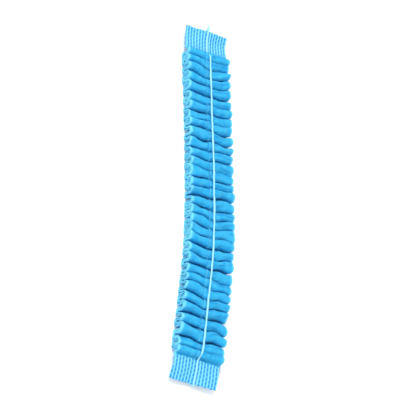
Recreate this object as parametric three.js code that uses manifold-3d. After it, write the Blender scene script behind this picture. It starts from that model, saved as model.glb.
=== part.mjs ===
// A disposable hairnet of the clip cap kind, folded as it is packed.
//
// One sheet of spunbond nonwoven is pleated lengthwise into a narrow band of plies. A stretched elastic is
// welded along the middle of each face, and when it lets go the whole stack of plies gathers into loops.
// Both ends are pressed flat by a ribbed ultrasonic weld. The net lies on one face, with its length along Y,
// its width along X and +Z up. Millimetres.

import * as THREE from "three";
import Module from "manifold-3d";

// The folded band
const bandWidth = 30;
const stackThickness = 1.5; // all the plies together
const endThickness = 1.0; // the stack where it runs into a weld
const bendSlope = 0.19; // the packed band isn't quite straight in plan: its front part turns this much to -X
const bendY = -22; // where it turns
const bendSpread = 12; // half the length that it takes
const gap = 0.3; // between pieces that touch

// The gathers: the stack swings up and down in loops, as a buckled strip does
const crestCount = 32; // loops that reach the upper face
const lowLevel = 0.5; // stack's middle at a lower crest: under its natural height, so it is pressed flat
const highLevel = 6.3; // stack's middle at an upper crest
const swing = 1.72; // steepest slope of the stack, in radians: just past upright, so the loops bulge
const leadSwing = 1.15; // the gentler slope of the half loop next to a weld
const pointsPerHalfLoop = 12;

// The ribbed end welds
const tabLength = 12;
const tabLevel = 3.5; // the weld's middle, above the surface
const tabCore = 0.6; // thickness between ribs
const ribPitch = 2;
const ribHeight = 0.25;
const ribCrown = 0.7; // flat width at the top of a rib
const ribFoot = 1.3;

// The rim elastics
const elasticWidth = 1.4;
const elasticThickness = 0.5;
const upperElasticLevel = 6.95; // its middle, where it crosses the crests
const lowerElasticLevel = 0.37;
const elasticRamp = 5; // length over which it comes down from the crests to the weld
const shortTail = 1;
const longTail = 4;
const elasticStep = 2.5;

const wasm = await Module();
wasm.setup();

// Where the stack's middle turns, in order from the front weld to the back weld: up to a crest, down to the
// surface and so on. The crests are a little uneven, and about half of the lower ones touch the surface.
function turningLevels() {
  const levels = [tabLevel];
  for (let i = 0; i < crestCount; i++) {
    levels.push(highLevel - 0.3 * (1 + Math.sin(1.9 * i + 0.6)));
    if (i < crestCount - 1) levels.push(lowLevel + Math.max(0, 0.35 * Math.sin(2.3 * i + 0.4)));
  }
  levels.push(tabLevel);
  return levels;
}

// How steeply half loop number i swings.
function swingOf(i, count) {
  if (i === 0 || i === count - 1) return leadSwing;
  return swing + 0.09 * Math.sin(1.37 * i) + 0.06 * Math.sin(0.53 * i + 1);
}

// The mean of a function over 0 to 1.
function mean(f, steps = 200) {
  let sum = 0;
  for (let i = 0; i < steps; i++) sum += f((i + 0.5) / steps);
  return sum / steps;
}

// The stack's middle line as points { y, z, slope }, by chaining half loops. In each one the slope follows
// swing * sin(pi t) along the line, which is the shape that a thin strip takes when its ends are pushed together.
function stackLine() {
  const levels = turningLevels();
  const halfLoops = levels.length - 1;
  const fine = 12; // integration steps between two points
  const line = [{ y: 0, z: levels[0], slope: 0 }];
  let y = 0;
  for (let i = 0; i < halfLoops; i++) {
    const steepest = swingOf(i, halfLoops);
    const rise = levels[i + 1] - levels[i];
    const length = Math.abs(rise) / mean((t) => Math.sin(steepest * Math.sin(Math.PI * t)));
    let z = levels[i];
    for (let k = 1; k <= pointsPerHalfLoop * fine; k++) {
      const t = (k - 0.5) / (pointsPerHalfLoop * fine);
      const slope = Math.sign(rise) * steepest * Math.sin(Math.PI * t);
      const step = length / (pointsPerHalfLoop * fine);
      y += step * Math.cos(slope);
      z += step * Math.sin(slope);
      if (k % fine === 0) {
        const here = Math.sign(rise) * steepest * Math.sin((Math.PI * k) / (pointsPerHalfLoop * fine));
        line.push({ y, z, slope: here });
      }
    }
  }
  for (const point of line) point.y -= y / 2;
  return line;
}

// A strip between two side profiles, lists of (y, z) that keep pace with each other, with its width along X.
function stripBetween(under, over, width) {
  const half = width / 2;
  const position = [];
  under.forEach(([y, z], i) => {
    const [overY, overZ] = over[i];
    position.push(-half, y, z, half, y, z, half, overY, overZ, -half, overY, overZ);
  });
  const index = [0, 1, 2, 0, 2, 3];
  const last = 4 * (under.length - 1);
  for (let ring = 0; ring < last; ring += 4) {
    for (let k = 0; k < 4; k++) {
      const a = ring + k;
      const b = ring + ((k + 1) % 4);
      index.push(a, a + 4, b, b, a + 4, b + 4);
    }
  }
  index.push(last, last + 2, last + 1, last, last + 3, last + 2);
  const geometry = new THREE.BufferGeometry();
  geometry.setAttribute("position", new THREE.Float32BufferAttribute(position, 3));
  geometry.setIndex(index);
  return geometry;
}

// The band's centre line in plan: straight, a soft turn, then straight again.
const bendOffset = (y) => -bendSlope * bendSpread * Math.log(1 + Math.exp((bendY - y) / bendSpread));
const bendHeading = (y) => Math.atan(bendSlope / (1 + Math.exp((y - bendY) / bendSpread)));

// Bends a straight piece in plan: each cross-section moves and turns with the centre line.
function bent(geometry) {
  const position = geometry.getAttribute("position");
  for (let i = 0; i < position.count; i++) {
    const x = position.getX(i);
    const y = position.getY(i);
    const heading = bendHeading(y);
    position.setX(i, bendOffset(y) + x * Math.cos(heading));
    position.setY(i, y - x * Math.sin(heading));
  }
  return geometry;
}

function solidOf(geometry) {
  const vertProperties = geometry.getAttribute("position").array;
  const triVerts = new Uint32Array(geometry.index.array);
  return new wasm.Manifold(new wasm.Mesh({ numProp: 3, vertProperties, triVerts }));
}

function geometryOf(solid) {
  const mesh = solid.getMesh();
  const geometry = new THREE.BufferGeometry();
  geometry.setAttribute("position", new THREE.BufferAttribute(new Float32Array(mesh.vertProperties), 3));
  geometry.setIndex(new THREE.BufferAttribute(new Uint32Array(mesh.triVerts), 1));
  return geometry;
}

// The gathered stack of plies: the middle line with half the thickness on each side. Where a lower crest
// would go below the surface, it is pressed flat on it.
function crownGeometry(line) {
  const halfLength = line.at(-1).y;
  const side = (sign) =>
    line.map(({ y, z, slope }) => {
      const share = THREE.MathUtils.smoothstep(halfLength - Math.abs(y), 0, 3);
      const half = THREE.MathUtils.lerp(endThickness, stackThickness, share) / 2;
      return [y - sign * half * Math.sin(slope), Math.max(0, z + sign * half * Math.cos(slope))];
    });
  return stripBetween(side(-1), side(1), bandWidth);
}

// One rim elastic, seen from the side: level over the crests, then down or up to the weld at each end. grown
// is added all round, and reach past it on the open side, so that the grown one cuts a channel in the crown.
function elasticGeometry(line, crestLevel, weldLevel, grown = 0, reach = 0) {
  const crownEnd = line.at(-1).y;
  const front = -(crownEnd + gap + tabLength + shortTail);
  const back = crownEnd + gap + tabLength + longTail;
  const upward = crestLevel > weldLevel;
  const level = (y) => {
    const share = THREE.MathUtils.smoothstep(crownEnd + 1 - Math.abs(y), 0, elasticRamp);
    return THREE.MathUtils.lerp(weldLevel, crestLevel, share);
  };
  const half = elasticThickness / 2 + grown;
  const steps = Math.round((back - front) / elasticStep);
  const under = [];
  const over = [];
  for (let i = 0; i <= steps; i++) {
    const y = THREE.MathUtils.lerp(front, back, i / steps);
    under.push([y, level(y) - half - (upward ? 0 : reach)]);
    over.push([y, level(y) + half + (upward ? reach : 0)]);
  }
  return stripBetween(under, over, elasticWidth + 2 * grown);
}

// The ribbed weld, with its inner edge on the X axis and its length along +Y. The ribs run lengthwise.
function tabGeometry() {
  const ribs = Math.round(bandWidth / ribPitch);
  const face = [];
  for (let i = 0; i < ribs; i++) {
    const middle = (i + 0.5) * ribPitch - bandWidth / 2;
    face.push([middle - ribFoot / 2, tabCore / 2]);
    face.push([middle - ribCrown / 2, tabCore / 2 + ribHeight]);
    face.push([middle + ribCrown / 2, tabCore / 2 + ribHeight]);
    face.push([middle + ribFoot / 2, tabCore / 2]);
  }
  const upper = [[-bandWidth / 2, tabCore / 2], ...face, [bandWidth / 2, tabCore / 2]];
  const lower = upper.map(([x, z]) => [x, -z]).reverse();
  const shape = new THREE.Shape([...upper, ...lower].map(([x, z]) => new THREE.Vector2(x, z)));
  const geometry = new THREE.ExtrudeGeometry(shape, { depth: tabLength, steps: 1, bevelEnabled: false });
  geometry.rotateX(Math.PI / 2);
  geometry.translate(0, tabLength, 0);
  return geometry;
}

const nonwoven = new THREE.MeshStandardMaterial({ color: 0x1ea6e6, roughness: 0.85, metalness: 0 });
const pressedNonwoven = new THREE.MeshStandardMaterial({ color: 0x46b8ea, roughness: 0.5, metalness: 0 });
const rubber = new THREE.MeshStandardMaterial({ color: 0xc8ecf6, roughness: 0.6, metalness: 0 });

const line = stackLine();
const crownEnd = line.at(-1).y;
const ribReach = tabCore / 2 + ribHeight + gap + elasticThickness / 2;
const elastics = {
  elastic_upper: [upperElasticLevel, tabLevel + ribReach],
  elastic_lower: [lowerElasticLevel, tabLevel - ribReach],
};

const net = new THREE.Group();

let crownSolid = solidOf(crownGeometry(line));
for (const [crestLevel, weldLevel] of Object.values(elastics)) {
  crownSolid = crownSolid.subtract(solidOf(elasticGeometry(line, crestLevel, weldLevel, gap, 2)));
}
const crown = new THREE.Mesh(bent(geometryOf(crownSolid)), nonwoven);
crown.name = "crown";
net.add(crown);

for (const [name, [crestLevel, weldLevel]] of Object.entries(elastics)) {
  const elastic = new THREE.Mesh(bent(elasticGeometry(line, crestLevel, weldLevel)), rubber);
  elastic.name = name;
  net.add(elastic);
}

const tabStart = crownEnd + gap;
for (const [name, y, turn] of [
  ["weld_tab_front", -tabStart, Math.PI],
  ["weld_tab_back", tabStart, 0],
]) {
  const tab = new THREE.Mesh(tabGeometry(), pressedNonwoven);
  tab.name = name;
  tab.position.set(bendOffset(y), y, tabLevel);
  tab.rotation.z = turn - bendHeading(y);
  net.add(tab);
}

// The origin is on the surface, under the middle of the whole.
const box = new THREE.Box3().setFromObject(net, true);
net.position.set(-(box.min.x + box.max.x) / 2, -(box.min.y + box.max.y) / 2, -box.min.z);

export default net;
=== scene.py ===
# A disposable clip cap hairnet, folded and gathered as it comes out of its pack, lying on one face.
# Lengths in the dictionaries and the shape functions are in millimetres.

import math

import bpy
import numpy as np
from mathutils import Matrix, Vector


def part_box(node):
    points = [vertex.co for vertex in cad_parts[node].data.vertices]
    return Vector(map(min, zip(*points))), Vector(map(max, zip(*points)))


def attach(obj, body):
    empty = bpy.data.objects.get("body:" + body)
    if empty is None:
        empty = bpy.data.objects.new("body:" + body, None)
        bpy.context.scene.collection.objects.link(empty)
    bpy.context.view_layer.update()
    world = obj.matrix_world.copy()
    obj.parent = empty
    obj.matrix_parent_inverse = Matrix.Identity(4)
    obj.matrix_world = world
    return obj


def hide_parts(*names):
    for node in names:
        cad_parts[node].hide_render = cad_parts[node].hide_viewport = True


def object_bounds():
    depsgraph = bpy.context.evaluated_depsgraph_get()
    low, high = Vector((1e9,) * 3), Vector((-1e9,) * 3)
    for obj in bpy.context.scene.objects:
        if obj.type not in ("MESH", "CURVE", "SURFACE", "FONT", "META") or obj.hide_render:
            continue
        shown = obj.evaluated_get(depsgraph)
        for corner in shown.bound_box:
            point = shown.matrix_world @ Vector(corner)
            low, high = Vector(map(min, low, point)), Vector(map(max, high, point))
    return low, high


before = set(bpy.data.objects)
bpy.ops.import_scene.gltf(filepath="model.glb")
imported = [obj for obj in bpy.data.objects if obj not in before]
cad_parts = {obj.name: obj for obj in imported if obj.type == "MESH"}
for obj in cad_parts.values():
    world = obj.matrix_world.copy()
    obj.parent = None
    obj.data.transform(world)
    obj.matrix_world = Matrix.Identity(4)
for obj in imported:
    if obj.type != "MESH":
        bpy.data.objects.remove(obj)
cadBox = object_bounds()
print("frame loaded")


# The band's own line, the same as the solid's
band = {
    "width": 30.0,
    "crestCount": 32,
    "lowLevel": 0.5,
    "highLevel": 6.3,
    "swing": 1.72,  # steepest slope of the stack, radians
    "leadSwing": 1.15,
    "samplesPerHalfLoop": 16,
    "plies": 16,  # a half ply, fourteen whole ones and a half ply
    "stack": 1.3,  # thickness of them all, without what the outer ones stand off
    "tabLevel": 3.5,
    "tabLength": 12.0,
    "tabGap": 0.3,
    "shortTail": 1.0,
    "longTail": 4.0,
    "bendSlope": 0.19,
    "bendY": -22.0,
    "bendSpread": 12.0,
}


def smooth(value, low, high):
    t = np.clip((value - low) / (high - low), 0, 1)
    return t * t * (3 - 2 * t)


# Sum of sine waves with random directions and phases: smooth noise of about unit size, whose lumps
# measure sizeX by sizeY.
def ripple(x, y, sizeX, sizeY, seed, waves=12):
    rng = np.random.default_rng(seed)
    angle = rng.uniform(0, 2 * math.pi, waves)
    turns = math.pi * rng.uniform(0.55, 1.35, waves)
    phase = rng.uniform(0, 2 * math.pi, waves)
    x, y = np.broadcast_arrays(np.asarray(x, float) / sizeX, np.asarray(y, float) / sizeY)
    along = x[..., None] * np.cos(angle) + y[..., None] * np.sin(angle)
    return np.cos(along * turns + phase).sum(axis=-1) / math.sqrt(waves / 2)


# In each half loop the slope is swing * sin(pi t) along the line, up and down in turn. Returns y, z,
# slope and the length along the line.
def middleLine():
    crest = np.arange(band["crestCount"])
    levels = np.full(2 * len(crest) + 1, band["tabLevel"])
    levels[1::2] = band["highLevel"] - 0.3 * (1 + np.sin(1.9 * crest + 0.6))
    levels[2:-1:2] = band["lowLevel"] + np.maximum(0, 0.35 * np.sin(2.3 * crest[:-1] + 0.4))
    half = np.arange(len(levels) - 1)
    steepest = band["swing"] + 0.09 * np.sin(1.37 * half) + 0.06 * np.sin(0.53 * half + 1)
    steepest[[0, -1]] = band["leadSwing"]
    rise = np.diff(levels)
    t = (np.arange(200) + 0.5) / 200
    length = np.abs(rise) / np.sin(steepest[:, None] * np.sin(math.pi * t)).mean(axis=1)
    count, fine = band["samplesPerHalfLoop"], 12
    t = (np.arange(count * fine) + 0.5) / (count * fine)
    slope = (np.sign(rise) * steepest)[:, None] * np.sin(math.pi * t)
    step = (length / (count * fine))[:, None]
    y = np.cumsum(step * np.cos(slope))[fine - 1 :: fine]
    z = (levels[:-1, None] + np.cumsum(step * np.sin(slope), axis=1))[:, fine - 1 :: fine].ravel()
    t = np.arange(1, count + 1) / count
    slope = ((np.sign(rise) * steepest)[:, None] * np.sin(math.pi * t)).ravel()
    along = np.cumsum(np.repeat(length / count, count))
    firsts = (0, levels[0], 0, 0)
    y, z, slope, along = (np.concatenate([[a], b]) for a, b in zip(firsts, (y, z, slope, along)))
    return y - y[-1] / 2, z, slope, along


lineY, lineZ, lineSlope, lineAlong = middleLine()
crownEnd = lineY[-1]
# a little more line at each end, which goes into the welds
endY = np.array([0.5, 1.1])
lineY = np.concatenate([-crownEnd - endY[::-1], lineY, crownEnd + endY])
lineZ = np.pad(lineZ, 2, mode="edge")
lineSlope = np.pad(lineSlope, 2)
lineAlong = np.concatenate([-endY[::-1], lineAlong, lineAlong[-1] + endY])
linePhase = (np.arange(len(lineY)) - 2) / (2 * band["samplesPerHalfLoop"])  # in loops, a crest at n + 0.5
fromEnd = np.clip(crownEnd - np.abs(lineY), 0, None)
sheetLength = lineAlong[-1] - lineAlong[0]
print("middle line", len(lineY), "stations, cloth length", round(float(sheetLength), 1), "mm")

# the solid's place in the frame
crownHigh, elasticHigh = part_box("crown")[1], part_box("elastic_upper")[1]
placeX = crownHigh[0] * 1000 - band["width"] / 2
placeY = elasticHigh[1] * 1000 - (crownEnd + band["tabGap"] + band["tabLength"] + band["longTail"])


# x and y of a straight band, moved to the real one's gently bent centre line:
# offset = -slope * spread * ln(1 + e^((bendY - y) / spread)), and each cross-section turns with it.
def intoPlan(x, y):
    far = (band["bendY"] - y) / band["bendSpread"]
    offset = -band["bendSlope"] * band["bendSpread"] * np.log1p(np.exp(far))
    heading = np.arctan(band["bendSlope"] / (1 + np.exp(-far)))
    return placeX + offset + x * np.cos(heading), placeY + y - x * np.sin(heading)


# Writes points (rows, columns, 3), in millimetres, and their faces into a new object. closed columns wrap
# round. map01 is the flat cloth's place of each point, from 0 to 1 both ways, and values are named point
# attributes.
def gridObject(name, points, map01=None, values=None, closed=False, caps=False):
    rows, columns = points.shape[:2]
    index = np.arange(rows * columns).reshape(rows, columns)
    if closed:
        index = np.concatenate([index, index[:, :1]], axis=1)
    corners = (index[:-1, :-1], index[:-1, 1:], index[1:, 1:], index[1:, :-1])
    faces = np.stack(corners, axis=-1).reshape(-1, 4).tolist()
    if caps:
        faces += [index[0, :-1][::-1].tolist(), index[-1, :-1].tolist()]
    mesh = bpy.data.meshes.new(name)
    mesh.from_pydata((points.reshape(-1, 3) / 1000).tolist(), [], faces)
    mesh.polygons.foreach_set("use_smooth", np.ones(len(mesh.polygons), bool))
    corner = np.empty(len(mesh.loops), np.int32)
    mesh.loops.foreach_get("vertex_index", corner)
    if map01 is not None:
        layer = mesh.uv_layers.new(name="OFBake")
        layer.uv.foreach_set("vector", map01.reshape(-1, 2)[corner].astype(np.float32).ravel())
    for key, numbers in (values or {}).items():
        attribute = mesh.attributes.new(key, "FLOAT", "POINT")
        spread = np.broadcast_to(numbers, (rows, columns)).astype(np.float32)
        attribute.data.foreach_set("value", spread.ravel())
    mesh.update()
    made = bpy.data.objects.new(name, mesh)
    bpy.context.scene.collection.objects.link(made)
    return made


elastic = {
    "width": 1.15,
    "thickness": 0.44,
    "upperLevel": 6.98,
    "lowerLevel": 0.4,
    "ramp": 5.0,
    "sunk": 0.67,  # its middle's distance from the weld's middle, where it lies half sunk in the ribs
}


# Level of an elastic's middle along the band: on the crests, then down (or up) on to the weld.
def elasticLevel(y, upper):
    crest = elastic["upperLevel"] if upper else elastic["lowerLevel"]
    weld = band["tabLevel"] + (elastic["sunk"] if upper else -elastic["sunk"])
    return weld + (crest - weld) * smooth(crownEnd + 1 - np.abs(y), 0, elastic["ramp"])


gathers = {
    "droop": 1.1,  # how far the ridges hang towards the front along the elastic
    "droopWidth": 5.5,
    "wander": 0.5,  # how far they stray to and fro
    "lowRidges": 0.16,  # how much lower the weakest ridges are
    "pinch": 0.45,  # how much the elastic draws the crests in, over a few millimetres
    "bundleGap": 0.3,  # between bundles of plies at the folded sides
    "foldScatter": 0.4,  # how unevenly the side folds line up
    "foldBulge": 0.034,  # the two plies of a side fold spring apart
    "puff": 0.12,  # the outer ply stands off the stack
    "wrinkle": 0.04,
    "crease": 0.5,  # little creases along the ridges
    "pucker": 0.5,  # fine gathers close to the elastic
    "puckerPitch": 1.65,  # along the cloth
    "parting": 0.85,  # depth of the grooves that part some ridges of the half ply in two
    "spot": 0.35,  # depth of the row of small welds that hold the elastic
    "spotPlace": -1.5,
    "hemRuffle": 0.4,
    "lip": 2.6,  # the hem's free edge beyond the elastic
    "ribEcho": 0.3,  # the weld's ribs, dying out in the cloth beside it
}


# Where a point of the straight, ideal band ends up: ridges stray and droop, weak ones are lower, the
# elastics pinch the crests, and what would sink into the surface is pressed on to it. softFloor(z) = c
# ln(1 + e^(z/c)).
def settled(x, y, z):
    quiet = smooth(crownEnd - np.abs(y), 0.5, 9)
    strength = 0.75 + 0.3 * ripple(0 * x, y, 1, 30, 3)
    moved = -gathers["droop"] * strength * np.exp(-((x / gathers["droopWidth"]) ** 2))
    moved = moved + gathers["wander"] * ripple(x, y, 11, 13, 5) + 0.22 * ripple(x, y, 4.5, 7, 6)
    height = np.clip(z / 6.9, 0, 1.1)
    weak = smooth(ripple(x, y, 15, 5.5, 7), 0.2, 2.2) + 0.35 * smooth(ripple(x, y, 6, 6, 8), 0.0, 2.0)
    z = z * (1 - gathers["lowRidges"] * weak * quiet)
    z = z - gathers["pinch"] * np.exp(-((x / 4.2) ** 2)) * height**4 * quiet
    under = np.exp(-((x / 1.45) ** 4))
    ceiling = 14 - (14 - (elasticLevel(y, True) - 0.3)) * under
    z = ceiling - 0.16 * np.logaddexp(0, (ceiling - z) / 0.16)
    floor = (elasticLevel(y, False) + 0.3) * under
    z = floor + 0.14 * np.logaddexp(0, (z - floor) / 0.14)
    planX, planY = intoPlan(x, y + moved * quiet)
    return np.stack(np.broadcast_arrays(planX, planY, z), axis=-1)


# One piece of the sheet: for each column its ply number k (a fold lies between two, at k + 0.5) and its
# place x across the band. A point is the middle line's, moved d along the line's normal, with d = (7.5 -
# k) * ply + gaps between bundles + how the outer plies stand off.
def pliesPoints(k, x):
    ply = band["stack"] / band["plies"]
    half = band["width"] / 2
    side = np.sign(x)
    station = lineAlong[:, None]
    phase = linePhase[:, None]
    # side folds: a ply shares each of its folds with a neighbour, so both read the same scatter
    low = np.floor(k)
    right = side > 0
    fold = np.where(k % 1 > 0, low, np.where(right == (low % 2 == 0), low, low - 1))
    scatter = ripple(fold * 7.3, station, 3.1, 16, 21) + ripple(fold, station, 6, 40, 22)
    scatter = np.clip(0.25 + 0.3 * scatter, 0, 1.5)
    inset = gathers["foldScatter"] * scatter * (np.abs(x) / half) ** 3
    crest = 0.5 - 0.5 * np.cos(2 * math.pi * phase)  # 1 on an upper crest, 0 on a lower one
    d = ((band["plies"] - 1) / 2 - k) * ply
    spread = smooth(np.abs(x), 7.5, half)
    for number, seed in ((3.5, 31), (8.5, 32), (12.5, 33)):
        gap = np.clip(0.55 + 0.5 * ripple(side * 40, station, 10, 17, seed), 0, 1.3)
        d = d + np.where(k < number, 0.5, -0.5) * gathers["bundleGap"] * gap * spread
    # how freely a ply moves: 1 for the two on top, less for the next two, and the same with -1 underneath
    loose = np.clip((3.6 - k) / 2.2, 0, 1) - np.clip((k - (band["plies"] - 4.6)) / 2.2, 0, 1)
    outward = np.where(loose > 0, crest, 1 - crest)
    # creases are where |noise| and |cosine| touch zero, so the cloth between them is rounded
    puff = gathers["puff"] * smooth(ripple(x, station, 8, 9, 41), -0.8, 2.2)
    puff = puff + gathers["wrinkle"] * (1 + np.clip(ripple(x, station, 2.6, 1.5, 42), -1, 2))
    along = np.clip(np.abs(ripple(x, station, 14, 3.0, 43)), 0, 0.9) ** 0.8
    slanting = np.clip(np.abs(ripple(x + 0.5 * station, station, 8, 3.4, 44)) * 1.3, 0, 1)
    along = along * (0.35 + 0.65 * slanting)
    puff = puff + gathers["crease"] * along
    reach = np.where(x > 0, 8.5, 4.6) * (1 + 0.35 * np.clip(ripple(0 * x, station, 1, 6, 47), -1.5, 1.5))
    drawn = np.exp(-((np.abs(x) / reach) ** 2))
    turns = station / gathers["puckerPitch"] + 0.35 * ripple(x, station, 4, 6, 46)
    turns = turns - 0.09 * np.abs(x) * ripple(0 * x, station, 1, 5, 48)  # they fan out from the elastic
    tight = np.abs(np.cos(math.pi * turns)) ** 0.9
    puff = puff * (1 - 0.6 * drawn) + gathers["pucker"] * drawn * tight
    local = phase % 1 - 0.5
    groove = np.exp(-(((local - 0.05 * ripple(x, station, 13, 9, 61)) / 0.036) ** 2))
    groove = groove * smooth(ripple(x, station, 11, 9, 62), -1.0, 0.5) * smooth(x, -0.5, 2.5)
    hair = np.exp(-(((local - 0.09 * ripple(x, station, 10, 9, 63)) / 0.026) ** 2))
    hair = hair * smooth(ripple(x, station, 6, 9, 64), 0.0, 1.2) * smooth(-x, 1.5, 4)
    parted = groove + 0.5 * hair
    puff = np.maximum(puff - gathers["parting"] * parted, -0.16)
    d = d + loose * puff * (0.15 + 0.85 * outward)
    hem = (k == 0).astype(float) - (k == band["plies"] - 1).astype(float)
    near = np.exp(-((np.clip(x, 0, None) / 9) ** 2))
    fine = np.abs(np.cos(math.pi * (station / 3.3 + 0.4 * ripple(x, station, 6, 8, 51)))) ** 0.8
    ruffle = gathers["hemRuffle"] * near * fine * (0.7 + 0.6 * smooth(-x, 0, gathers["lip"]))
    d = d + hem * ruffle * (0.2 + 0.8 * outward)
    spots = np.exp(-(((x - gathers["spotPlace"]) / 0.42) ** 2) - (local / 0.034) ** 2) * np.abs(hem)
    d = d - hem * gathers["spot"] * spots
    # the plies of one side fold stand apart there, and close up to the next fold's
    upperOfPair = np.where(right, low % 2 == 0, low % 2 == 1)
    bulge = np.where(k % 1 > 0, (0.5 - k % 1) * 2, np.where(upperOfPair, 1, -1))
    d = d + gathers["foldBulge"] * bulge * smooth(np.abs(x), half - 1.6, half - 0.2)
    thin = 0.34 + 0.66 * smooth(fromEnd, 0.0, 3.5)[:, None]
    d = d * thin
    fading = gathers["ribEcho"] * np.exp(-((fromEnd[:, None] / 3.6) ** 1.5))
    d = d + loose * fading * (0.5 + 0.5 * np.cos(math.pi * x))
    slope = lineSlope[:, None]
    y = lineY[:, None] - d * np.sin(slope)
    z = lineZ[:, None] + d * np.cos(slope)
    narrowed = (half - inset * smooth(fromEnd, 0, 4)[:, None]) / half
    outer = np.abs(loose) > 0.5
    looks = {
        # painted shade in the grooves that part the ridges; it darkens the small weld spots too
        "crease": np.clip(np.maximum(parted * outer, spots), 0, 1),
        "drawn": drawn * outer,
    }
    return settled(x * narrowed, y, z), looks


# A side fold's columns: how far on they are from one ply to the next, and how far in from the band's
# side.
sideFold = {"share": np.array([0, 0.15, 0.5, 0.85, 1]), "inset": np.array([0.12, 0.03, 0, 0.03, 0.12])}
plyReach = band["width"] / 2 - 0.4  # where a ply ends and its fold begins


# Columns along the folded width, from one ply to the next round the side folds: lists of k and x. Each
# whole ply runs between the two sides of the band, and a fold's middle column is shared by both plies.
def foldedColumns(first, last, stations):
    half = band["width"] / 2
    ks, xs = [], []
    for k in range(first, last + 1):
        toLeft = k % 2 == 1
        across = stations[::-1] if toLeft else stations
        if k in (0, band["plies"] - 1):  # the half plies, each from the hem to the right fold or back
            across = np.linspace(-gathers["lip"], plyReach, 41)[:: 1 if k == 0 else -1]
        ks += [k] * len(across)
        xs += list(across)
        if k < band["plies"] - 1:
            ks += list(k + sideFold["share"])
            xs += list((half - sideFold["inset"]) * (-1 if toLeft else 1))
    return np.array(ks, float), np.array(xs, float)


# Makes one piece of the sheet, from ply first to ply last. The flat cloth's own place goes into the map.
def makePlies(name, first, last, stations):
    ks, xs = foldedColumns(first, last, stations)
    if first > 0:  # begin at the middle of the fold before
        side = 1 if first % 2 == 1 else -1
        ks = np.concatenate([first - 1 + sideFold["share"][2:], ks])
        xs = np.concatenate([side * (band["width"] / 2 - sideFold["inset"][2:]), xs])
    if last < band["plies"] - 1:  # and end at the middle of the one after
        ks, xs = ks[:-2], xs[:-2]
    points, looks = pliesPoints(ks[None, :], xs[None, :])
    across = np.concatenate([[0], np.cumsum(np.maximum(np.abs(np.diff(xs)), 0.05))])
    width = across[-1]
    u = np.broadcast_to(across / width, points.shape[:2])
    v = np.broadcast_to(((lineAlong - lineAlong[0]) / sheetLength)[:, None], points.shape[:2])
    # painted highlight: the colour is lightened near the folded sides and at the hem's free edge
    edge = smooth(np.abs(xs), 13.4, 14.9)
    halfPly = (ks == 0) | (ks == band["plies"] - 1)
    hem = np.where(halfPly, smooth(-xs, gathers["lip"] - 0.5, gathers["lip"]), 0)
    pressed = np.exp(-((fromEnd[:, None] / 2.2) ** 1.5))
    # painted shade: the lower the cloth lies, the deeper its colour, down between the crests
    sunk = 1 - smooth(points[..., 2], 2.5, 6.6)
    made = gridObject(
        name,
        points,
        np.stack([u, v], axis=-1),
        {"paintedEdgeHighlight": edge + hem, "pressed": pressed, "sunk": sunk, **looks},
    )
    made["flatWidth"] = float(width)
    print(name, points.shape[0] * points.shape[1], "points, flat width", round(float(width), 1), "mm")
    return made


coveredStations = np.array([0.8, 3.5, 6.5, 9.5, 12.6, 14.0, 14.6])
outerStations = np.concatenate([np.linspace(-plyReach, 0, 34), coveredStations])
innerStations = np.array([-14.6, -13.9, -12.0, -7.0, 0, 7.0, 12.0, 13.9, 14.6])
upperPlies = makePlies("upper_plies", 0, 1, outerStations)
middleUpperPlies = makePlies("middle_upper_plies", 2, 7, innerStations)
middleLowerPlies = makePlies("middle_lower_plies", 8, 13, innerStations)
lowerPlies = makePlies("lower_plies", 14, 15, outerStations)
allPlies = (upperPlies, middleUpperPlies, middleLowerPlies, lowerPlies)


weld = {
    "ribPitch": 2.0,
    "core": 0.3,
    "rib": 0.34,
    "columns": 181,
    "rows": 73,
    "dashPitch": 2.2,
    "start": -0.9,  # reaches this far over the cloth
    "frayed": 0.12,
}


# How much of the weld stands up between the pressed dashes, from 0 to 1, for x across and s from the
# crown. The rows of dashes are (0.5 - 0.5 cos(2 pi x / pitch))^0.7 across, and along them a cosine made
# steeper, which steps on by half a dash from row to row.
def raised(x, s, seed):
    row = np.floor(x / weld["ribPitch"])
    turns = s / weld["dashPitch"] + 0.5 * row + 0.05 * ripple(x, s, 6, 5, seed)
    dash = smooth(np.cos(2 * math.pi * turns), -0.85, -0.2)
    across = (0.5 - 0.5 * np.cos(2 * math.pi * x / weld["ribPitch"])) ** 0.7
    return 1 - across * (0.64 + 0.36 * dash)


def ribHeight(x, s, seed):
    return weld["rib"] * raised(x, s, seed) + 0.035 * ripple(x, s, 3, 3, seed + 1)


# How far a weld is bent out of flat: the front one hangs a little, the back one curls up at its cut end.
def tabWarp(x, s, sign):
    curl = 2.2 * smooth(s, 3.5, 14) ** 1.5 if sign > 0 else -0.9 * smooth(s, 0, 14)
    seed = 75 if sign > 0 else 71
    wave = 0.3 * ripple(x, s, 15, 13, seed) * smooth(s, 1, 9)
    return curl + wave + 0.08 * ripple(x, s, 5, 9, seed + 1) * smooth(s, 0, 5)


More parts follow.
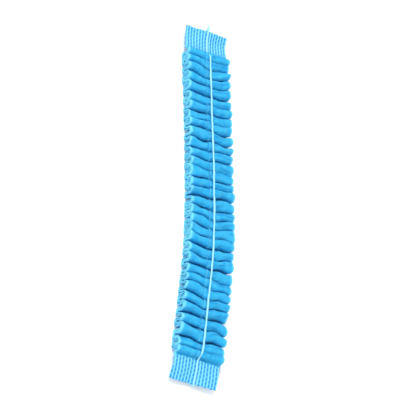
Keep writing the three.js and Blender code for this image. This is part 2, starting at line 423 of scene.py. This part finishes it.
def makeTab(name, sign, seed):
    half = band["width"] / 2
    s = np.linspace(weld["start"], band["tabLength"], weld["rows"])[:, None]
    a = np.linspace(-1, 1, weld["columns"])[None, :]
    uneven = 0.25 * ripple(s, 0 * s, 5, 1, seed + 2)
    x = a * (half - 0.15) + uneven * np.abs(a) ** 3
    length = s + weld["frayed"] * ripple(a * half, 0 * a, 1.6, 1, seed + 3) * smooth(s, 8, 12)
    fade = smooth(s, weld["start"], 0.5) * (1 - smooth(np.abs(a), 0.985, 1.0))
    fade = fade * (1 - 0.6 * smooth(s, band["tabLength"] - 0.5, band["tabLength"]))
    core = weld["core"] * (0.35 + 0.65 * fade)
    y = sign * (crownEnd + band["tabGap"] + length)
    planX, planY = intoPlan(x, y)
    level = band["tabLevel"] + tabWarp(x, s, sign)
    high = level + core + ribHeight(x, s, seed) * fade
    low = level - core - ribHeight(x, s, seed + 9) * fade
    top = np.stack(np.broadcast_arrays(planX, planY, high), axis=-1)
    bottom = np.stack(np.broadcast_arrays(planX, planY, low), axis=-1)
    # once round the cross-section: over the top from left to right, and back underneath
    ring = np.concatenate([top, bottom[:, ::-1]], axis=1)
    if sign < 0:  # so that the faces look outward
        ring = ring[:, ::-1]
    across = np.linspace(0, 1, ring.shape[1])[None, :]
    map01 = np.stack(np.broadcast_arrays(across, (s - s[0]) / (s[-1] - s[0])), axis=-1)
    values = np.concatenate([raised(x, s, seed), raised(x, s, seed + 9)[:, ::-1]], axis=1)
    if sign < 0:
        values = values[:, ::-1]
    return gridObject(name, ring, map01, {"rib": values}, closed=True, caps=True)


tabs = {"weld_tab_front": makeTab("front_weld", -1, 60), "weld_tab_back": makeTab("back_weld", 1, 80)}
print("welds made")


# A flat thread: an oval width by thickness, carried along the band. Between crests it sags a little, and
# it is never quite straight.
def makeElastic(name, upper, seed):
    front = -(crownEnd + band["tabGap"] + band["tabLength"] + band["shortTail"] * (1.0 if upper else 0.4))
    back = crownEnd + band["tabGap"] + band["tabLength"] + band["longTail"] * (1.0 if upper else 0.6)
    y = np.linspace(front, back, 520)[:, None]
    turn = np.linspace(0, 1, 20, endpoint=False)[None, :]
    around = -2 * math.pi * turn
    beyond = smooth(np.abs(y), crownEnd + band["tabLength"], crownEnd + band["tabLength"] + 4)
    phase = np.interp(y, lineY, linePhase)
    level = elasticLevel(y, upper) - (0.05 if upper else -0.03) * np.cos(2 * math.pi * phase)
    beyondCrown = np.abs(y) - crownEnd - band["tabGap"]
    level = level + np.where(y > 0, tabWarp(0 * y, beyondCrown, 1), tabWarp(0 * y, beyondCrown, -1))
    level = level + 0.04 * ripple(0 * y, y, 1, 4, seed) - 0.5 * beyond
    wander = 0.07 * ripple(0 * y, y, 1, 14, seed + 1) + 0.03 * ripple(0 * y, y, 1, 2.5, seed + 2)
    x = wander + 0.6 * beyond
    strand = 1 + 0.09 * np.cos(around * 4 + 0.35 * y) + 0.03 * np.cos(around * 7 - 0.6 * y)
    wide = elastic["width"] / 2 * (1 + 0.05 * ripple(0 * y, y, 1, 3, seed + 3))
    across = wide * np.cos(around) * strand
    high = elastic["thickness"] / 2 * np.sin(around) * strand
    planX, planY = intoPlan(x + across, y)
    points = np.stack(np.broadcast_arrays(planX, planY, level + high), axis=-1)
    map01 = np.stack(np.broadcast_arrays(turn, (y - front) / (back - front)), axis=-1)
    return gridObject(name, points, map01, closed=True, caps=True)


elastics = {
    "elastic_upper": makeElastic("upper_elastic", True, 90),
    "elastic_lower": makeElastic("lower_elastic", False, 95),
}
print("elastics made")


# Wraps a shader socket so that formulas on it add Math nodes.
class Value:
    def __init__(self, tree, socket):
        self.tree, self.socket = tree, socket

    def math(self, operation, *others):
        node = self.tree.nodes.new("ShaderNodeMath")
        node.operation = operation
        for slot, given in zip(node.inputs, (self, *others)):
            put(self.tree, slot, given)
        return Value(self.tree, node.outputs[0])

    def __add__(self, other):
        return self.math("ADD", other)

    __radd__ = __add__

    def __mul__(self, other):
        return self.math("MULTIPLY", other)

    __rmul__ = __mul__

    def __sub__(self, other):
        return self.math("SUBTRACT", other)

    def __rsub__(self, other):
        return (self * -1) + other

    def __pow__(self, other):
        return self.math("POWER", other)

    # 0 below low, 1 above high, smooth between
    def step(self, low, high):
        node = self.tree.nodes.new("ShaderNodeMapRange")
        node.interpolation_type = "SMOOTHSTEP"
        for slot, given in zip(node.inputs, (self, low, high, 0.0, 1.0)):
            put(self.tree, slot, given)
        return Value(self.tree, node.outputs[0])


def put(tree, slot, given):
    if isinstance(given, Value):
        tree.links.new(given.socket, slot)
    elif given is not None:
        slot.default_value = given


class Shader:
    def __init__(self, name):
        self.material = bpy.data.materials.new(name)
        self.material.use_nodes = True
        self.tree = self.material.node_tree
        self.tree.nodes.clear()

    # any node: its type, its settings, and values or links by socket name or number
    def node(self, kind, settings=None, inputs=None, output=0):
        node = self.tree.nodes.new(kind)
        for key, value in (settings or {}).items():
            setattr(node, key, value)
        for key, value in (inputs or {}).items():
            put(self.tree, node.inputs[key], value)
        return Value(self.tree, node.outputs[output]) if len(node.outputs) else None

    def attribute(self, name):
        return self.node("ShaderNodeAttribute", {"attribute_name": name}, output="Fac")

    def noise(self, vector, scale, detail=2.0, roughness=0.5):
        inputs = {"Vector": vector, "Scale": scale, "Detail": detail, "Roughness": roughness}
        return self.node("ShaderNodeTexNoise", None, inputs)

    def blend(self, factor, a, b):
        inputs = {0: factor, 6: a, 7: b}
        return self.node("ShaderNodeMix", {"data_type": "RGBA"}, inputs, output=2)

    # The flat cloth's place in millimetres: the 0 to 1 map times the piece's flat size
    def cloth(self, width, length):
        place = self.node("ShaderNodeUVMap", {"uv_map": "OFBake"})
        factors = {0: place, 1: (width, length, 1.0)}
        return self.node("ShaderNodeVectorMath", {"operation": "MULTIPLY"}, factors)

    def finish(self, surface):
        self.node("ShaderNodeOutputMaterial", None, {"Surface": surface})
        return self.material


def linear(red, green, blue):
    def one(c):
        c = c / 255
        return c / 12.92 if c <= 0.04045 else ((c + 0.055) / 1.055) ** 2.4

    return (one(red), one(green), one(blue), 1.0)


spunbond = {
    # painted shade low in the troughs, and also the bonding dots' own colour
    "deep": linear(0, 158, 224),
    # painted shade for the grooves that part the ridges and the creases between the gathers
    "creaseShade": linear(0, 126, 206),
    "mid": linear(22, 186, 240),
    "light": linear(84, 216, 250),
    # painted highlight for the folded sides and the hem's edge
    "edge": linear(144, 244, 255),
    "through": linear(50, 208, 255),
    "bondPitch": (1.5, 1.15),
    "translucent": 0.38,
    "gatherPitch": 0.95,  # fine lines across the cloth where the elastic draws it in
}


# Spunbond: cloudy fibre density, fine random fibres, and a lattice of small bonding dots,
# cos(2 pi u / p) * cos(2 pi v / q) above a level. Painted shade deepens the colour low in the troughs,
# in the parting grooves and in the creases of the gathers, and a painted highlight lightens the folded
# sides and the hem's edge.
def spunbondMaterial(name, width):
    s = Shader(name)
    place = s.cloth(width, sheetLength)
    parts = s.node("ShaderNodeSeparateXYZ", None, {0: place})
    u, v = parts, Value(s.tree, parts.socket.node.outputs[1])
    clouds = s.noise(place, 0.33, 3.0, 0.6)
    fibres = s.noise(place, 3.2, 4.0, 0.7)
    stretched = s.node("ShaderNodeVectorMath", {"operation": "MULTIPLY"}, {0: place, 1: (2.4, 0.5, 1.0)})
    strands = s.noise(stretched, 2.2, 3.0, 0.65)
    pu, pv = spunbond["bondPitch"]
    lattice = (u * (2 * math.pi / pu)).math("COSINE") * (v * (2 * math.pi / pv)).math("COSINE")
    bond = lattice.step(0.35, 0.75)
    edge = s.attribute("paintedEdgeHighlight")
    sunk = s.attribute("sunk")
    pressed = s.attribute("pressed")
    crinkled = s.node("ShaderNodeVectorMath", {"operation": "MULTIPLY"}, {0: place, 1: (0.22, 1.0, 1.0)})
    crinkle = 1 - (s.noise(crinkled, 0.8, 2.0, 0.5) * 2 - 1).math("ABSOLUTE") * 3.0
    drawn = s.attribute("drawn")
    turns = v * (1 / spunbond["gatherPitch"]) + s.noise(place, 0.22, 2.0, 0.5) * 5
    gathered = (turns * math.pi).math("COSINE").math("ABSOLUTE") * drawn
    creaseShade = (drawn - gathered).step(0.35, 1.0)
    density = clouds * 0.55 + fibres * 0.25 + strands * 0.35
    colour = s.blend(density.step(0.38, 0.78), spunbond["mid"], spunbond["light"])
    # painted shade: the lower the cloth lies, the deeper its colour
    colour = s.blend(sunk * 0.4, colour, spunbond["deep"])
    # painted shade in the parting grooves, and darker small weld spots
    colour = s.blend(s.attribute("crease") ** 2.2 * 0.6, colour, spunbond["creaseShade"])
    # painted shade in the creases between the fine gathers
    colour = s.blend(creaseShade * 0.45, colour, spunbond["creaseShade"])
    colour = s.blend(bond * 0.35, colour, spunbond["deep"])
    # painted highlight on the folded sides and the hem's edge
    colour = s.blend(edge * (0.6 + fibres * 0.5), colour, spunbond["edge"])
    height = fibres * 0.45 + strands * 0.45 + clouds * 0.6 - bond * 0.35 + crinkle * 0.7 + gathered * 1.3
    bump = s.node("ShaderNodeBump", None, {"Strength": 0.7, "Distance": 0.00022, "Height": height})
    inputs = {
        "Base Color": colour,
        "Roughness": 0.82 - bond * 0.3 - pressed * 0.25,
        "Normal": bump,
        "Sheen Weight": 0.06,
        "Sheen Roughness": 0.5,
        "Specular IOR Level": 0.25,
    }
    principled = s.node("ShaderNodeBsdfPrincipled", None, inputs)
    through = s.node("ShaderNodeBsdfTranslucent", None, {"Color": spunbond["through"], "Normal": bump})
    both = {0: spunbond["translucent"], 1: principled, 2: through}
    return s.finish(s.node("ShaderNodeMixShader", None, both))


welded = {
    "groove": linear(6, 140, 222),
    "rib": linear(128, 224, 252),
    "translucent": 0.15,
}


# The melted plies: glossier, paler on the ribs, deeper in the grooves, with the fibres still faintly
# there.
def weldMaterial():
    s = Shader("pressed spunbond")
    place = s.cloth(60.0, band["tabLength"])
    mottle = s.noise(place, 1.1, 3.0, 0.6)
    fine = s.noise(place, 4.5, 3.0, 0.6)
    rib = s.attribute("rib")
    tone = (rib * 0.8 + mottle * 0.35 + fine * 0.3 - 0.2).step(0.1, 0.95)
    colour = s.blend(tone, welded["groove"], welded["rib"])
    height = mottle * 0.5 + fine * 0.7
    bump = s.node("ShaderNodeBump", None, {"Strength": 0.7, "Distance": 0.00014, "Height": height})
    inputs = {
        "Base Color": colour,
        "Roughness": 0.5 - rib * 0.12 + mottle * 0.1,
        "Normal": bump,
        "Specular IOR Level": 0.5,
        "Coat Weight": 0.15,
        "Coat Roughness": 0.3,
    }
    principled = s.node("ShaderNodeBsdfPrincipled", None, inputs)
    through = s.node("ShaderNodeBsdfTranslucent", None, {"Color": linear(90, 205, 250), "Normal": bump})
    both = {0: welded["translucent"], 1: principled, 2: through}
    return s.finish(s.node("ShaderNodeMixShader", None, both))


thread = {"pale": linear(180, 238, 252), "shade": linear(116, 212, 246)}


# A rubber core wound with fine white yarn: streaks along it, slightly twisted.
def elasticMaterial():
    s = Shader("elastic thread")
    place = s.cloth(3.0, 200.0)
    parts = s.node("ShaderNodeSeparateXYZ", None, {0: place})
    u, v = parts, Value(s.tree, parts.socket.node.outputs[1])
    yarn = ((u * 4.0 + v * 1.4) * (2 * math.pi)).math("COSINE") * 0.5 + 0.5
    fluff = s.noise(place, 2.6, 4.0, 0.65)
    colour = s.blend((yarn * 0.5 + fluff * 0.7).step(0.25, 0.95), thread["shade"], thread["pale"])
    height = yarn * 0.7 + fluff * 0.6
    bump = s.node("ShaderNodeBump", None, {"Strength": 0.8, "Distance": 0.00014, "Height": height})
    inputs = {
        "Base Color": colour,
        "Roughness": 0.6 + fluff * 0.2,
        "Normal": bump,
        "Sheen Weight": 0.1,
        "Specular IOR Level": 0.4,
    }
    return s.finish(s.node("ShaderNodeBsdfPrincipled", None, inputs))


for piece in allPlies:
    piece.data.materials.append(spunbondMaterial("spunbond " + piece.name, piece["flatWidth"]))
weldLook = weldMaterial()
for piece in tabs.values():
    piece.data.materials.append(weldLook)
threadLook = elasticMaterial()
for piece in elastics.values():
    piece.data.materials.append(threadLook)
print("materials made")


# What each piece is
for piece in allPlies:
    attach(piece, "root")
    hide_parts("crown")
for node, piece in tabs.items():
    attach(piece, "root")
    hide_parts(node)
for node, piece in elastics.items():
    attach(piece, "root")
    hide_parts(node)


room = {
    "floor": linear(246, 248, 250),
    "world": 0.85,
    "keyPower": 22.0,
    "keyPlace": (-0.7, 1.0, 1.35),
    "keySize": 0.5,
    "fillPower": 11.0,
    "fillPlace": (-1.3, -0.7, 0.8),
    "fillSize": 1.0,
}

floorMesh = bpy.data.meshes.new("floor")
floorMesh.from_pydata([(-30, -30, 0), (30, -30, 0), (30, 30, 0), (-30, 30, 0)], [], [(0, 1, 2, 3)])
floor = bpy.data.objects.new("floor", floorMesh)
bpy.context.scene.collection.objects.link(floor)
f = Shader("pale floor")
floorInputs = {"Base Color": room["floor"], "Roughness": 0.7, "Specular IOR Level": 0.2}
floorMesh.materials.append(f.finish(f.node("ShaderNodeBsdfPrincipled", None, floorInputs)))

world = bpy.data.worlds.new("studio")
world.use_nodes = True
world.node_tree.nodes["Background"].inputs["Color"].default_value = (1, 1, 1, 1)
world.node_tree.nodes["Background"].inputs["Strength"].default_value = room["world"]
bpy.context.scene.world = world

middle = (cadBox[0] + cadBox[1]) / 2


def makeLight(name, place, power, size):
    data = bpy.data.lights.new(name, "AREA")
    data.shape, data.size, data.energy = "DISK", size, power
    light = bpy.data.objects.new(name, data)
    light.location = place
    light.rotation_mode = "QUATERNION"
    light.rotation_quaternion = (middle - Vector(place)).to_track_quat("-Z", "Y")
    bpy.context.scene.collection.objects.link(light)


makeLight("key", room["keyPlace"], room["keyPower"], room["keySize"])
makeLight("fill", room["fillPlace"], room["fillPower"], room["fillSize"])

shot = {
    "towards": (-0.62, -0.28, 0.73),  # from the net to the camera
    "distance": 0.5,
    "lens": 85.0,
    "roll": 2.0,  # degrees
    "aim": (0.0, -0.002, 0.003),
}
back = Vector(shot["towards"]).normalized()
roll = math.radians(shot["roll"])
side = Vector((math.sin(roll), math.cos(roll), 0)).cross(back).normalized()
up = back.cross(side)
cameraData = bpy.data.cameras.new("camera")
cameraData.lens = shot["lens"]
camera = bpy.data.objects.new("camera", cameraData)
turned = Matrix((side, up, back)).transposed().to_4x4()
camera.matrix_world = Matrix.Translation(Vector(shot["aim"]) + back * shot["distance"]) @ turned
bpy.context.scene.collection.objects.link(camera)
bpy.context.scene.camera = camera
bpy.context.scene.view_settings.view_transform = "Standard"
